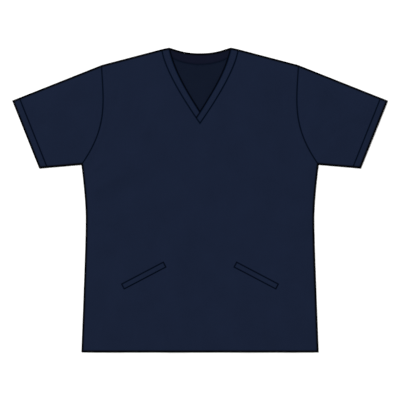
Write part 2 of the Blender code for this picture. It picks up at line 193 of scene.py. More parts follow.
SIDES = {-1: "left", 1: "right"}        # as seen from above
GRAIN_MAP, SEAM_MASK, EDGE_AWAY = "Grain", "seam", "edge"


def in_metres(*rows):
    """Table of folds whose lengths are given in millimetres."""
    return np.array(rows) * (MM, MM, 1, MM, MM, MM, MM)


# Soft folds of the upper cloth, in millimetres and degrees: x and y of the middle of each, its
# heading from +X, its length and width, how high its ridge stands (a trough is negative), and how
# far its ends bend to the right.
FOLDS = in_metres(
    # from the underarms towards the chest and the waist
    (-200, 58, 26, 170, 40, 2.5, 10), (-186, 14, 20, 150, 34, -1.5, 8),
    (-176, -30, 12, 150, 36, 1.4, 4), (-210, -110, -14, 120, 34, 1.1, 0),
    (204, 50, 152, 175, 42, 2.3, -12), (194, 4, 160, 140, 34, -1.3, -6),
    (182, -44, 170, 130, 36, 1.1, -3), (214, -124, 10, 110, 36, 1.4, 0),
    # waves that run up from the hem
    (-196, -250, 80, 210, 46, 1.8, 8), (-118, -275, 85, 200, 44, -1.1, 4),
    (-46, -240, 90, 270, 52, 2.1, -10), (32, -285, 95, 180, 44, -1.1, 0),
    (92, -250, 97, 230, 46, 1.8, 8), (205, -262, 100, 200, 44, 1.8, -6),
    # across the chest and the middle
    (-118, 186, 62, 170, 40, 1.6, 6), (-80, 120, 66, 150, 36, -0.8, 4),
    (122, 178, 117, 160, 42, 1.8, -8), (86, 108, 112, 140, 36, -0.8, -4),
    (10, 80, 84, 170, 46, 1.4, 4), (-30, -70, 74, 200, 60, 1.1, 12),
    (70, -30, 100, 190, 55, 1.1, -10),
    # over the sleeves
    (-322, 136, -40, 150, 36, 2.3, 8), (-350, 176, -32, 130, 32, -1.1, 5),
    (-372, 212, -22, 130, 36, 1.6, 0), (-285, 235, -62, 120, 34, 1.1, 6),
    (318, 132, 221, 150, 36, 2.1, -8), (350, 170, 212, 130, 32, -1.1, -5),
    (380, 204, 203, 120, 36, 1.6, 0), (284, 240, 245, 120, 34, 1.4, -6),
)

# Smaller creases in the upper cloth.
CREASES = in_metres(
    (-246, 82, 40, 60, 12, 0.4, 3), (-232, 50, 30, 70, 11, -0.35, 3),
    (-252, 22, 14, 50, 10, 0.32, 2), (-240, -14, 2, 60, 13, 0.3, 0),
    (-246, -62, -8, 55, 12, -0.28, -2), (248, 80, 142, 60, 12, 0.38, -3),
    (236, 46, 150, 75, 11, -0.34, -3), (250, 12, 168, 50, 11, 0.34, 0),
    (238, -30, 178, 60, 13, -0.26, 2), (250, -74, 8, 50, 12, 0.3, 1),
    (-150, 232, 74, 80, 14, 0.3, 4), (-196, 250, 80, 60, 12, -0.26, -3),
    (158, 236, 104, 75, 14, 0.3, -4), (196, 228, 98, 60, 12, -0.24, 3),
    (-60, 150, 58, 70, 13, 0.28, 3), (60, 152, 122, 75, 13, 0.28, -3),
    (-10, 148, 86, 60, 12, -0.22, 2), (-120, 60, 34, 90, 16, 0.3, 6),
    (110, 52, 150, 85, 16, 0.28, -6), (20, 10, 96, 100, 18, 0.26, 6),
    (-100, -80, 64, 90, 16, -0.26, 5), (130, -90, 118, 90, 16, 0.26, -5),
    (-200, -176, 76, 75, 14, 0.28, 3), (218, -190, 102, 80, 14, 0.26, -3),
    (-85, -318, 88, 80, 15, 0.34, 2), (-160, -330, 82, 60, 13, -0.3, -2),
    (5, -322, 92, 70, 15, 0.3, 3), (70, -332, 95, 60, 13, -0.28, 1),
    (150, -316, 98, 80, 15, 0.32, -3), (240, -326, 101, 60, 13, 0.28, 0),
    (-238, -322, 79, 70, 13, 0.28, 2), (-262, 150, -70, 60, 12, 0.34, 3),
    (-300, 172, -48, 70, 12, -0.32, 4), (-336, 150, -36, 70, 12, 0.34, 3),
    (-330, 104, -20, 60, 11, 0.3, 2), (-392, 188, -34, 60, 12, -0.28, 2),
    (-296, 104, -10, 50, 10, -0.28, 1), (258, 156, 250, 60, 12, 0.34, -3),
    (296, 180, 230, 70, 12, -0.32, -4), (334, 156, 217, 70, 12, 0.34, -3),
    (326, 108, 202, 60, 11, 0.3, -2), (396, 182, 214, 60, 12, -0.26, -2),
    (300, 100, 190, 50, 10, -0.28, -1),
)

# Creases in the cloth that lies on the surface, which lift it off in places.
CREASES_BELOW = in_metres(
    (-190, 60, 28, 160, 30, 0.9, 10), (-214, 10, 12, 110, 22, 0.6, 4),
    (-150, 200, 66, 150, 26, 0.7, 8), (-60, 110, 80, 190, 30, 0.6, 10),
    (-110, -60, 58, 200, 34, 0.7, 14), (-206, -200, 80, 190, 30, 0.8, 8),
    (-90, -262, 88, 210, 32, 0.9, -8), (26, -226, 94, 230, 34, 0.7, 10),
    (120, -290, 96, 160, 28, 0.9, -4), (212, -222, 101, 190, 30, 0.7, -8),
    (196, 52, 151, 170, 30, 0.9, -10), (210, -6, 168, 110, 22, 0.6, -4),
    (60, 60, 104, 200, 34, 0.6, -12), (146, 204, 112, 150, 26, 0.7, -8),
    (10, 240, 92, 110, 26, 0.4, 4), (-318, 150, -38, 130, 24, 0.8, 8),
    (-366, 176, -28, 100, 20, 0.6, 4), (-300, 222, -60, 90, 20, 0.5, 4),
    (316, 146, 219, 130, 24, 0.8, -8), (368, 180, 208, 100, 20, 0.6, -4),
    (298, 226, 241, 90, 20, 0.5, -4),
)


# --- Plan: points and curves seen from above ---

def spot(mark):
    """Place on the right half of the garment for a half width and a drop."""
    half_width, drop = mark
    return np.array((half_width, HEM_Y + LENGTH - drop))


def length_of(points):
    """Length of a polyline."""
    return np.linalg.norm(np.diff(points, axis=0), axis=1).sum()


def along(points, fractions):
    """Points at the given fractions of a polyline's length."""
    steps = np.linalg.norm(np.diff(points, axis=0), axis=1)
    reached = np.concatenate(((0.0,), np.cumsum(steps))) / steps.sum()
    return np.column_stack([np.interp(fractions, reached, points[:, axis]) for axis in (0, 1)])


def curve(*marks):
    """Cubic curve from one marked point to another, with two handles between them, as points at
    even steps of its length."""
    p0, p1, p2, p3 = (spot(mark) for mark in marks)
    t = np.linspace(0.0, 1.0, CURVE_SAMPLES)[:, None]
    points = ((1 - t) ** 3 * p0 + 3 * (1 - t) ** 2 * t * p1
              + 3 * (1 - t) * t ** 2 * p2 + t ** 3 * p3)
    return along(points, np.linspace(0.0, 1.0, CURVE_SAMPLES))


def mirrored(points):
    """The same points on the left half of the garment."""
    return points * np.array((-1.0, 1.0))


def between(start, end, fraction):
    """Point, or points, part of the way from one to another."""
    return start + (end - start) * fraction


def crowded(length, count, at_start=True, at_end=True, steps=SEAM_STEPS):
    """Shares of a length: even in the middle, and closer and closer towards an end at a seam."""
    steps = steps / length
    first = steps if at_start else np.zeros(1)
    last = 1 - steps[::-1] if at_end else np.ones(1)
    return np.concatenate((first, np.linspace(first[-1], last[0], count + 1)[1:-1], last))


ARMHOLE = curve(SHOULDER_TIP, (0.2313, 0.1279), (0.2190, 0.1901), UNDERARM)
SIDE_SEAM = np.vstack((curve(UNDERARM, (0.2775, 0.3351), (0.2736, 0.3801), WAIST),
                       curve(WAIST, (0.2735, 0.4508), (0.2772, 0.5497), HEM_CORNER)[1:]))
NECK_FOLD = curve(V_POINT, (0.0417, 0.0884), (0.0629, 0.0472), NECK_POINT)
NECK_SEAM = curve(V_SEAM, (0.0429, 0.1199), (0.0849, 0.0505), BAND_ON_SHOULDER)
BACK_FOLD = curve(BACK_NECK, (0.0380, 0.0134), (0.0530, 0.0057), NECK_POINT)
BACK_SEAM = curve(BACK_NECK_SEAM, (0.0350, 0.0401), (0.0750, 0.0280), BAND_ON_SHOULDER)
SHOULDER = np.array([spot(mark) for mark in (NECK_POINT, BAND_ON_SHOULDER, SHOULDER_TIP)])
SLEEVE_FOLD = np.array((spot(SHOULDER_TIP), spot(SLEEVE_TIP)))
SLEEVE_SEAM = np.array((spot(UNDERARM), spot(SLEEVE_CORNER)))
SLEEVE_HEM = np.array((spot(SLEEVE_TIP), spot(SLEEVE_CORNER)))
HEM_RUN = (SLEEVE_HEM[1] - SLEEVE_HEM[0]) / length_of(SLEEVE_HEM)
HEM_INWARD = np.array((HEM_RUN[1], -HEM_RUN[0]))
LOWER_EDGE = np.vstack((SIDE_SEAM[::-1], spot(SLEEVE_CORNER)))
UPPER_EDGE = np.vstack((SHOULDER, spot(SLEEVE_TIP)))


# --- Cut of each piece ---

def area_of(outline):
    """Area inside a closed outline."""
    x, y = np.asarray(outline).T
    return abs((x * np.roll(y, -1) - y * np.roll(x, -1)).sum()) / 2


def panel_cut(neck_seam):
    """Flat size and area of a whole panel."""
    half = np.vstack(((0.0, HEM_Y), SIDE_SEAM[::-1], ARMHOLE[::-1], neck_seam[::-1]))
    return {"flat": (2 * HEM_CORNER[0], LENGTH - BAND_ON_SHOULDER[1]), "area": 2 * area_of(half)}


def sleeve_cut():
    """Flat size and area of a sleeve, all the way round."""
    return {"flat": (2 * length_of(ARMHOLE), length_of(SLEEVE_FOLD)),
            "area": 2 * area_of(np.vstack((ARMHOLE, SLEEVE_HEM[::-1])))}


def band_cut(seam_side, fold_side):
    """Width and length of the folded strip that makes a band, laid out straight."""
    length = length_of(seam_side)
    return area_of(np.vstack((seam_side, fold_side[::-1]))) / length, length


# --- Heights: how the cloth lies ---

def distance(points, polyline, mirror=True):
    """Distance from each point to a polyline, or to the nearer of it and its mirror image."""
    place = np.column_stack((np.abs(points[:, 0]) if mirror else points[:, 0], points[:, 1]))
    if len(polyline) > CURVE_SAMPLES // 2:
        polyline = np.vstack((polyline[:-1:COARSER], polyline[-1:]))
    start, run = polyline[:-1], np.diff(polyline, axis=0)
    nearest = np.empty(len(points))
    for first in range(0, len(points), CHUNK):
        away = place[first:first + CHUNK, None] - start
        share = np.clip((away * run).sum(2) / (run ** 2).sum(1), 0.0, 1.0)
        away -= run * share[..., None]
        nearest[first:first + CHUNK] = np.sqrt((away ** 2).sum(2).min(1))
    return nearest


def smooth(share):
    """Soft step from 0 to 1."""
    share = np.clip(share, 0.0, 1.0)
    return share * share * (3 - 2 * share)


def roll(away, radius, depth):
    """How far a rounded edge falls at a distance from it."""
    inside = np.clip(1 - away / radius, 0.0, 1.0)
    return depth * (1 - np.sqrt(1 - inside ** 2))


def groove(away, half_width):
    """1 on a line and 0 clear of it."""
    return np.exp(-(away / half_width) ** 2)


def stripe(away, width):
    """1 up to a width from a line, falling softly to 0 beyond it."""
    return np.exp(-(away / width) ** STRIPE_POWER)


def seam_shade(away):
    """Shade at a distance from a seam."""
    return SEAM_SHADE * stripe(away, SEAM_LINE)


def ridge(away, start, end):
    """Flat-topped ridge beside a seam, where the turned-in cloth lies under the upper one."""
    return smooth(away / start) * (1 - smooth((away - end) / start))


def waves(place, pitch, phase):
    """Uneven waves along a seam, from -1 to 1: two lengths of wave, which swell and fade."""
    turn = 2 * math.pi * place / pitch
    swell = 1 - SWELL + SWELL * np.sin(turn / SWELL_LENGTH + SWELL_START * phase)
    return swell * (LONG_WAVE * np.sin(turn + phase)
                    + SHORT_WAVE * np.sin(turn / SHORTENING + SHORT_START * phase))


def puckers(seam, plan, away, sizes, side=0):
    """Small waves across a seam, which die out with the distance from it."""
    axis, size, start, shift = PUCKERS[seam]
    return (size * sizes.pucker_height
            * waves(plan[:, axis], sizes.pucker_pitch, start + shift * side)
            * smooth(away / PUCKERS_START) * np.exp(-away / sizes.pucker_reach))


def folds(points, table):
    """Height of soft folds at each point."""
    height = np.zeros(len(points))
    for x, y, heading, length, width, rise, bend in table:
        angle = math.radians(heading)
        away = points - (x, y)
        forward = away @ (math.cos(angle), math.sin(angle)) / (length / 2)
        aside = away @ (-math.sin(angle), math.cos(angle)) + bend * forward ** 2
        height += rise * np.exp(-forward ** 2 - (aside / (width / 2)) ** 2)
    return height


def rise_from(seam, points):
    """0 on a seam, and near 1 once the cloth is clear of it."""
    return 1 - np.exp(-distance(points, seam) / LOFT_RUN)


def lift(points, creases):
    """How far the upper cloth stands off the lower: nothing at the edges, most between them."""
    held = rise_from(LOWER_EDGE, points) * rise_from(UPPER_EDGE, points)
    held *= 1 - ARMHOLE_HOLD * (1 - rise_from(ARMHOLE, points))
    held *= 1 - NECK_HOLD * (1 - rise_from(NECK_FOLD, points))
    height = LOFT + folds(points, FOLDS)
    height = (height + np.sqrt(height ** 2 + SETTLING ** 2)) / 2
    return held * (height + creases * folds(points, CREASES))


def unevenness(points):
    """Slight waviness that any laid cloth has, of about a tenth of a millimetre."""
    x, y = points.T
    return WAVINESS_HEIGHT * sum(size * np.sin(along_x * x + along_y * y + start)
                                 for along_x, along_y, start, size in WAVINESS)


def upper_face(points, sizes):
    """Outer face of the front and of the sleeves' upper sides, before their seams draw it in."""
    return 2 * SOLID_CLOTH + SOLID_GAP + lift(points, sizes.creases) + unevenness(points)


def lower_face(points, sizes):
    """Outer face of the back and of the sleeves' undersides, which lie on the surface."""
    return sizes.creases * np.maximum(folds(points, CREASES_BELOW) - LEAST_LIFT, 0.0)


# --- Meshes of cloth ---

def cloth_object(name, points, faces, inside, grain, shade, materials):
    """Object of one closed mesh. inside marks the faces of its inner side, grain has each point's
    place in the weave, and shade how far it is in a seam's shade and its distance from an edge."""
    mesh = bpy.data.meshes.new(name)
    mesh.from_pydata(np.asarray(points).tolist(), [], faces)
    for material in materials:
        mesh.materials.append(material)
    mesh.polygons.foreach_set("material_index", np.asarray(inside, dtype=np.int32))
    corners = np.empty(len(mesh.loops), dtype=np.int32)
    mesh.loops.foreach_get("vertex_index", corners)
    mesh.uv_layers.new(name=GRAIN_MAP).data.foreach_set("uv", np.asarray(grain)[corners].ravel())
    for mask, values in zip((SEAM_MASK, EDGE_AWAY), np.array(shade, dtype=np.float32).T):
        mesh.attributes.new(mask, "FLOAT", "POINT").data.foreach_set("value", values.copy())
    mesh.shade_smooth()
    piece = bpy.data.objects.new(name, mesh)
    bpy.context.collection.objects.link(piece)
    return piece


def wall(name, plan, cells, under, over, shade, materials, grain=None):
    """Closed wall of cloth over the cells of a plan."""
    count = len(plan)
    points = np.vstack((np.column_stack((plan, over)), np.column_stack((plan, under))))
    edges = {(cell[i], cell[(i + 1) % 4]) for cell in cells for i in range(4)}
    rim = [(b, a, count + a, count + b) for a, b in sorted(edges) if (b, a) not in edges]
    below = [tuple(count + corner for corner in reversed(cell)) for cell in cells]
    inside = [0] * len(cells) + [1] * len(below) + [0] * len(rim)
    return cloth_object(name, points, [*cells, *below, *rim], inside,
                        np.tile(plan if grain is None else grain, (2, 1)), np.tile(shade, (2, 1)),
                        materials)


def strip_cells(rows, columns):
    """Cells of a plan that is a plain grid, numbered row by row."""
    return [(row * columns + column, row * columns + column + 1,
             (row + 1) * columns + column + 1, (row + 1) * columns + column)
            for row in range(rows - 1) for column in range(columns - 1)]


def ring_faces(ring, following):
    """Faces between two rings of points."""
    size = len(ring)
    return [(ring[i], ring[(i + 1) % size], following[(i + 1) % size], following[i])
            for i in range(size)]


def panel_plan(neck_seam, rows):
    """Plan of a whole panel: rows from the centre line, or the neckline, to the side or armhole."""
    to_underarm, to_neck, to_shoulder = rows
    centre = np.array(((0.0, HEM_Y), neck_seam[0]))
    side, armhole = SIDE_SEAM[::-1], ARMHOLE[::-1]
    centre_shares = crowded(length_of(centre), to_underarm + to_neck, at_end=False)
    neck_row = len(centre_shares) - 1
    inner = np.vstack((
        along(centre, centre_shares),
        along(neck_seam, crowded(length_of(neck_seam), to_shoulder, at_start=False))[1:]))
    outer = np.vstack((
        along(side, crowded(length_of(side), to_underarm, at_end=False)),
        along(armhole, crowded(length_of(armhole), to_neck + to_shoulder, at_start=False))[1:]))

    plan, number = [], {}
    for row, (near, far) in enumerate(zip(inner, outer)):
        span = np.linalg.norm(far - near)
        plain = crowded(span, PANEL_COLUMNS + len(SEAM_STEPS) - 1, at_start=False)
        drawn_in = crowded(span, PANEL_COLUMNS)
        across = between(plain, drawn_in, smooth(1 + (row - neck_row) / ROWS_OF_SETTLING))
        for side in (1, -1):
            for column, share in enumerate(across):
                if side == -1 and column == 0 and row <= neck_row:
                    number[side, row, column] = number[1, row, column]
                else:
                    number[side, row, column] = len(plan)
                    plan.append(between(near, far, share) * (side, 1.0))

    cells = []
    for row in range(len(inner) - 1):
        for column in range(len(across) - 1):
            for side in (1, -1):
                cell = (number[side, row, column], number[side, row, column + 1],
                        number[side, row + 1, column + 1], number[side, row + 1, column])
                cells.append(cell[::side])
    return np.array(plan), cells


def dress(piece, node, slot, rests_on, **cut):
    """Puts a piece in the place of its node by hanging it on the root, and hides the node; rests_on
    and cut, how its cloth was cut and on what it lies, are not used.
    """
    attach(piece, "root")
    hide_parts(node)


# --- Front and back ---

def seam_distances(plan, neck_seam):
    """Distances from each point of a panel to its seams and edges."""
    return {"side": distance(plan, SIDE_SEAM), "shoulder": distance(plan, SHOULDER),
            "armhole": distance(plan, ARMHOLE), "neck": distance(plan, neck_seam),
            "hem": plan[:, 1] - HEM_Y}


def from_turned_edge(away):
    """Distance of each point of a panel from its side and shoulder edges."""
    return np.minimum(away["side"], away["shoulder"])


def panel_relief(plan, away, sizes):
    """Seam allowances and puckers of a panel, as heights."""
    allowance = ridge(away["armhole"], ALLOWANCE_START, sizes.seam_allowance)
    turned_up = 1 - smooth((away["hem"] - sizes.hem_turn) / HEM_TURN_END)
    return sizes.allowance_height * (allowance + HEM_SHARE * turned_up) + sum(
        puckers(seam, plan, away[seam], sizes, np.sign(plan[:, 0])) for seam in away)


def panel_shade(away, neck):
    """Shade of each point of a panel, from the armhole's seams and the neck's own, and its distance
    from the garment's outline."""
    return np.column_stack((np.maximum(seam_shade(away["armhole"]), neck),
                            np.minimum(from_turned_edge(away), away["hem"])))


def panel_edges(away, sizes):
    """Thickness of a panel at each point, and how far each face draws in towards the hem's fold."""
    return (sizes.cloth - roll(from_turned_edge(away), EDGE_ROUND, EDGE_THINNING),
            roll(away["hem"], HEM_FOLD_ROUND, sizes.cloth / 2))


def front_top(plan, away, sizes):
    """Height of the front's outer face."""
    return (upper_face(plan, sizes) + panel_relief(plan, away, sizes)
            - roll(from_turned_edge(away), EDGE_ROUND, EDGE_FALL)
            - roll(away["armhole"], ARMHOLE_ROUND, ARMHOLE_FALL)
            - roll(away["neck"], NECK_ROUND, NECK_FALL)
            - HEM_SETTLING * np.exp(-away["hem"] / HEM_SETTLING_RUN))


def make_front(sizes, materials):
    """Front panel, from the neckband's seam to the hem."""
    plan, cells = panel_plan(NECK_SEAM, FRONT_ROWS)
    away = seam_distances(plan, NECK_SEAM)
    over = front_top(plan, away, sizes)
    thickness, fold = panel_edges(away, sizes)
    piece = wall("front_cloth", plan, cells, over - thickness + fold, over - fold,
                 panel_shade(away, seam_shade(away["neck"])), materials)
    dress(piece, "front_panel", "cloth", ["back_panel"], **panel_cut(NECK_SEAM))


def make_back(sizes, materials):
    """Back panel, flat on the surface."""
    plan, cells = panel_plan(BACK_SEAM, BACK_ROWS)
    away = seam_distances(plan, BACK_SEAM)
    under = (lower_face(plan, sizes) + roll(from_turned_edge(away), EDGE_ROUND, EDGE_FALL)
             + roll(away["armhole"], NECK_ROUND, NECK_FALL))
    thickness, fold = panel_edges(away, sizes)
    over = under + thickness - roll(away["neck"], NECK_ROUND, BACK_NECK_FALL * sizes.cloth)
    shade = panel_shade(away, BACK_NECK_SHADE * groove(away["neck"], BACK_NECK_LINE))
    piece = wall("back_cloth", plan, cells, under + fold, over - fold, shade, materials[::-1])
    dress(piece, "back_panel", "cloth_inside", ["floor"], **panel_cut(BACK_SEAM))


# --- Sleeves ---

def from_sleeve_hem(points):
    """Distance from each point of the right sleeve to its hem's line."""
    return (points - SLEEVE_HEM[0]) @ HEM_INWARD


def beside_hem(inset):
    """Ends, on the sleeve's fold and on its underarm seam, of the line at an inset from the hem."""
    ends = []
    for edge in (SLEEVE_FOLD, SLEEVE_SEAM):
        reach = from_sleeve_hem(edge)
        ends.append(between(edge[1], edge[0], (inset - reach[1]) / (reach[0] - reach[1])))
    return np.array(ends)


def sleeve_faces(plan, side, sizes):
    """Heights of a sleeve's upper and lower outer faces, and its shade, for places on the right
    sleeve: side is -1 where they are built on the left."""
    here = plan * (side, 1.0)
    armhole, hem = distance(plan, ARMHOLE), from_sleeve_hem(plan)
    edge = np.minimum(distance(plan, SLEEVE_FOLD), distance(plan, SLEEVE_SEAM))
    from_stitches = hem - (sizes.sleeve_hem_turn - HEM_STITCH_INSIDE)
    doubled = 1 - smooth((hem - sizes.sleeve_hem_turn) / SLEEVE_TURN_END)
    drawn_in = HEM_STITCH_GROOVE * groove(from_stitches, HEM_STITCH_GROOVE_WIDTH)
    settled = np.exp(-hem / HEM_SETTLING_RUN) * (1 - np.exp(-edge / LOFT_RUN))
    over = (upper_face(here, sizes) + sizes.allowance_height * doubled
            + puckers("armhole", plan, armhole, sizes, side)
            + puckers("sleeve hem", plan, np.abs(from_stitches), sizes, side)
            + puckers("sleeve edge", plan, edge, sizes, side)
            - roll(armhole, ARMHOLE_ROUND, ARMHOLE_FALL) - drawn_in - SLEEVE_HEM_SETTLING * settled)
    under = lower_face(here, sizes) + roll(armhole, NECK_ROUND, SLEEVE_GROOVE) + drawn_in
    seams = np.maximum(seam_shade(armhole), HEM_STITCH_SHADE * stripe(from_stitches, SEAM_LINE))
    return over, under, np.column_stack((seams, np.minimum(edge, hem)))


def sleeve_ring(line, side, inset, at_hem, sizes):
    """Section of a sleeve's tube along a line from its fold to its underarm seam: the outer face
    for no inset. It runs out along the underside, turns, comes back on top and turns again."""
    length = length_of(line)
    start = SLEEVE_EDGE_ROUND / length
    run = along(line, between(start, 1 - start, crowded(length, SLEEVE_COLUMNS)))
    over, under, shade = sleeve_faces(run, side, sizes)
    over, under = over - inset - at_hem, under + inset + at_hem

    def bend(last, edge_point):
        """Round turn at one end of the section, from the underside up."""
        out = (edge_point - run[last]) * (1 - inset / SLEEVE_EDGE_ROUND)
        middle, half = (over[last] + under[last]) / 2, (over[last] - under[last]) / 2
        return [(*(run[last] + out * math.cos(angle)), middle + half * math.sin(angle))
                for angle in TURN_ANGLES]

    below = np.column_stack((run, under)).tolist()
    above = np.column_stack((run, over)).tolist()
    turn = np.zeros((len(TURN_ANGLES), 2))
    return (below + bend(-1, line[-1]) + above[::-1] + bend(0, line[0])[::-1],
            np.vstack((shade, turn, shade[::-1], turn)))


def sleeve_stations(sizes):
    """Lines across a sleeve from its armhole to its hem, and each one's rounding at the hem."""
    even = np.linspace(0.0, 1.0, CURVE_SAMPLES)
    turn, hem = along(beside_hem(sizes.sleeve_hem_turn), even), along(SLEEVE_HEM, even)
    middle = CURVE_SAMPLES // 2
    to_turn = np.linalg.norm(turn[middle] - ARMHOLE[middle])
    to_hem = np.linalg.norm(hem[middle] - turn[middle])
    shares = crowded(to_turn, SLEEVE_ROWS, at_end=False)
    shares = np.concatenate((shares[:-1], 1 - BEFORE_SLEEVE_TURN / to_turn, shares[-1:]))
    stations = [(between(ARMHOLE, turn, share), 0.0) for share in shares]
    past = PAST_SLEEVE_TURN / to_hem
    shares = np.concatenate((past, np.linspace(past[-1], 1 - SLEEVE_HEM_START / to_hem,
                                               HEM_TURN_ROWS)[1:], 1 - BEFORE_SLEEVE_HEM / to_hem))
    for share in shares:
        rounding = roll((1 - share) * to_hem, HEM_FOLD_ROUND, sizes.cloth / 3)
        stations.append((between(turn, hem, share), float(rounding)))
    return stations


def make_sleeve(side, sizes, materials):
    """One sleeve: a flat tube from the armhole to its hem, with the hem turned up."""
    points, shade, rings = [], [], []
    for line, at_hem in sleeve_stations(sizes):
        for inset, at_edge in ((0.0, at_hem), (sizes.cloth, -at_hem)):
            ring, ring_shade = sleeve_ring(line, side, inset, at_edge, sizes)
            rings.append(range(len(points), len(points) + len(ring)))
            points += ring
            shade.append(ring_shade)
    points = np.array(points)
    outer, inner = rings[0::2], rings[1::2]
    outside = [face for pair in zip(outer, outer[1:]) for face in ring_faces(*pair)]
    lining = [face[::-1] for pair in zip(inner, inner[1:]) for face in ring_faces(*pair)]
    ends = [face[::-1] for face in ring_faces(outer[0], inner[0])]
    ends += ring_faces(outer[-1], inner[-1])
    faces = [face[::side] for face in outside + lining + ends]
    grain = np.column_stack((points[:, :2] @ HEM_RUN, points[:, :2] @ HEM_INWARD))
    points[:, 0] *= side
    inside = [0] * len(outside) + [1] * len(lining) + [0] * len(ends)
    piece = cloth_object(f"sleeve_{SIDES[side]}_cloth", points, faces, inside, grain,
                         np.vstack(shade), materials)
    dress(piece, f"sleeve_{SIDES[side]}", "cloth", ["floor"], **sleeve_cut())


# --- Neckbands ---

def carried_on_lap():
    """Place on the left neck seam where the right band's fold line, carried on past the V, ends."""
    carried_on = NECK_FOLD[0] - NECK_FOLD[1]
    left_seam = mirrored(NECK_SEAM)
    away = left_seam - NECK_FOLD[0]
    nearest = np.abs(away[:, 0] * carried_on[1] - away[:, 1] * carried_on[0]).argmin()
    return left_seam[nearest], nearest / (CURVE_SAMPLES - 1)


def band_strip(name, near_side, far_side, heights, materials):
    """Folded strip of cloth between two rows of points along its sides."""
    plan, grain, reached = [], [], 0.0
    for row, (near, far) in enumerate(zip(near_side, far_side)):
        width = np.linalg.norm(far - near)
        shares = crowded(max(width, LEAST_WIDTH), BAND_COLUMNS)
        if row:
            before = (near_side[row - 1] + far_side[row - 1]) / 2
            reached += np.linalg.norm((near + far) / 2 - before)
        plan += [between(near, far, share) for share in shares]
        grain += [(share * width, reached) for share in shares]
    plan = np.array(plan)
    over, under, shade = heights(plan)
    return wall(name, plan, strip_cells(len(near_side), len(shares)), under, over, shade, materials,
                np.array(grain))


def front_band_heights(sizes, lap_line=None):
    """Function that gives the heights and the shade of a front band."""
    def heights(plan):
        fold, seam = distance(plan, NECK_FOLD), distance(plan, NECK_SEAM)
        shoulder = distance(plan, SHOULDER[:2])
        lapped = 0.0
        if lap_line is not None:
            at_lap = distance(plan, lap_line, mirror=False)
            fold = np.minimum(fold, at_lap)
            lapped = LAP_RISE * (1 - smooth(at_lap / LAP_RUN))
        side = np.sign(plan[:, 0])
        face = (2 * SOLID_BAND + SOLID_GAP + lift(plan, BAND_CREASES * sizes.creases)
                + unevenness(plan) + puckers("band seam", plan, seam, sizes, side)
                + puckers("band fold", plan, fold, sizes, side))
        drawn_in = roll(fold, BAND_FOLD_ROUND, sizes.band / 2)
        join = 1 - smooth(shoulder / SHOULDER_JOIN)
        top = (face - drawn_in - roll(seam, BAND_SEAM_ROUND, BAND_SEAM_FALL)
               - JOIN_TOP * join + lapped)
        bottom = (face - sizes.band + drawn_in - roll(seam, BAND_SEAM_ROUND, BAND_SEAM_TUCK)
                  - JOIN_BOTTOM * join + lapped / 2)
        shade = np.maximum(seam_shade(seam), stripe(fold, FOLD_LINE))
        return top, bottom, np.column_stack((shade, shoulder))
    return heights


def make_front_bands(sizes, materials):
    """The right band laps over and runs to the point of the V; the left band goes in under it."""
    lies_on = ["neckband_back", "back_panel"]
    lap, lap_share = carried_on_lap()
    left_seam = mirrored(NECK_SEAM)
    past_v = np.linspace(0.0, 1.0, LAP_ROWS)[:-1, None]
    up_seam = crowded(length_of(NECK_SEAM), BAND_ROWS, at_start=False)
    seam_side = np.vstack((between(between(lap, left_seam[0], 0.5), left_seam[0], past_v),
                           along(NECK_SEAM, up_seam)))
    fold_side = np.vstack((between(lap, NECK_FOLD[0], past_v), along(NECK_FOLD, up_seam)))
    piece = band_strip("neckband_front_right_cloth", seam_side, fold_side,
                       front_band_heights(sizes, np.array((lap, NECK_FOLD[0]))), materials)
    dress(piece, "neckband_front_right", "cloth", lies_on, flat=band_cut(seam_side, fold_side))

    seam_side = along(left_seam, between(lap_share, 1.0, up_seam))
    fold_side = along(mirrored(NECK_FOLD), up_seam)
    piece = band_strip("neckband_front_left_cloth", fold_side, seam_side,
                       front_band_heights(sizes), materials)
    dress(piece, "neckband_front_left", "cloth", lies_on, flat=band_cut(seam_side, fold_side))


def make_back_band(sizes, materials):
    """Back neckband, in one layer with the back, from shoulder to shoulder."""
    shares = crowded(length_of(BACK_SEAM), BAND_ROWS // 2, at_start=False)
    fold_side, seam_side = (np.vstack((mirrored(half)[:0:-1], half))
                            for half in (along(BACK_FOLD, shares), along(BACK_SEAM, shares)))

    def heights(plan):
        fold, seam = distance(plan, BACK_FOLD), distance(plan, BACK_SEAM)
        drawn_in = roll(fold, BAND_FOLD_ROUND, sizes.band / 2)
        join = 1 - smooth(distance(plan, SHOULDER[:2]) / SHOULDER_JOIN)
        bottom = drawn_in + BACK_JOIN_BOTTOM * join
        top = (sizes.band - drawn_in + BACK_JOIN_TOP * join
               + BACK_BAND_WAVINESS * unevenness(plan) + puckers("back band", plan, seam, sizes)
               - roll(seam, BAND_SEAM_ROUND, BACK_BAND_FALL))
        return top, bottom, np.column_stack((BACK_NECK_SHADE * groove(seam, BACK_NECK_LINE), fold))

    piece = band_strip("neckband_back_cloth", seam_side, fold_side, heights, materials)
    dress(piece, "neckband_back", "cloth_inside", ["floor"], flat=band_cut(seam_side, fold_side))


# --- Pocket welts ---

def welt_frame(side):
    """Middle of a welt, the direction to its inner end and the one across it, on its own side."""
    inward = np.array((-math.cos(WELT_SLOPE), math.sin(WELT_SLOPE)))
    upward = np.array((inward[1], -inward[0]))
    flip = np.array((side, 1.0))
    return spot(WELT_CENTRE) * flip, inward * flip, upward * flip


def front_under(plan, sizes):
    """Height of the front's outer face where something lies on it."""
    return front_top(plan, seam_distances(plan, NECK_SEAM), sizes)


